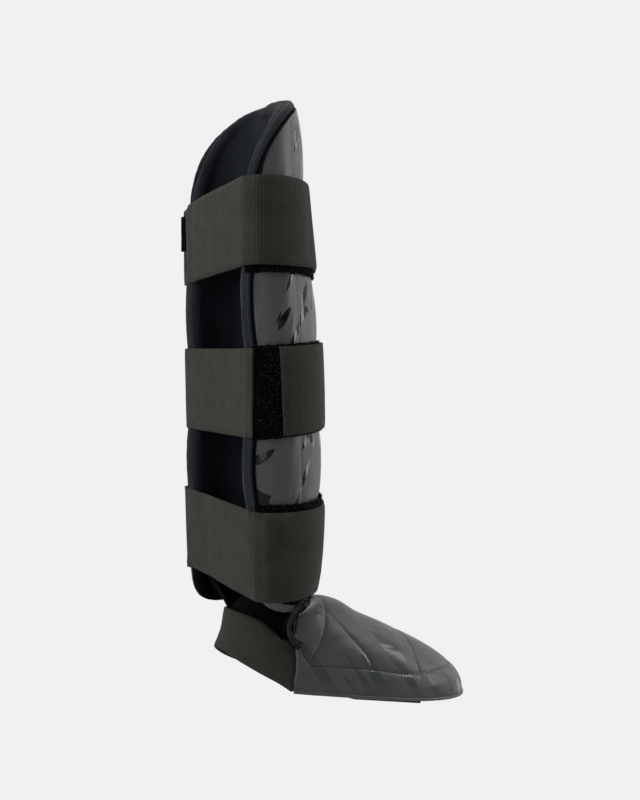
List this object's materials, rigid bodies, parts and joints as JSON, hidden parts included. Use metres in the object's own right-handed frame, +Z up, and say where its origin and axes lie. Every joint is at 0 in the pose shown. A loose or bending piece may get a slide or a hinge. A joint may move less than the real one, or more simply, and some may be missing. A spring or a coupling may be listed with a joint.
{
  "type": "kickboxing shin guard",
  "caption": "Padded shin guard with an instep pad: a C-shaped shell bound along its edge, closed behind by elastic straps, and a foot upper with heel and sole elastics.",
  "frame": {"origin": "on the axis of the leg that wears it, level with the middle strap", "axes": "+X towards the toes, +Y towards the wearer's left, +Z up the leg"},
  "size_m": [0.2319, 0.1387, 0.4783],
  "materials": {
    "coated_skin": "satin dark grey coated synthetic leather with glossy black slashes",
    "lining_cloth": "matt black lining cloth, rolled over the edge and sewn",
    "elastic": "matt charcoal woven elastic with fine cross ribs",
    "loop_pile": "matt black loop pile of a hook-and-loop tape"
  },
  "bodies": {
    "root": {"shin_pad": "coated_skin", "shin_lining": "lining_cloth", "edge_binding": "lining_cloth", "loop_band_top": "loop_pile", "strap_top": "elastic", "loop_band_middle": "loop_pile", "strap_middle": "elastic", "loop_band_bottom": "loop_pile", "strap_bottom": "elastic", "ankle_panel": "lining_cloth", "ankle_tab_right": "coated_skin", "ankle_tab_left": "coated_skin", "heel_strap": "elastic", "foot_pad": "coated_skin", "sole_strap": "elastic"}
  },
  "joints": []
}
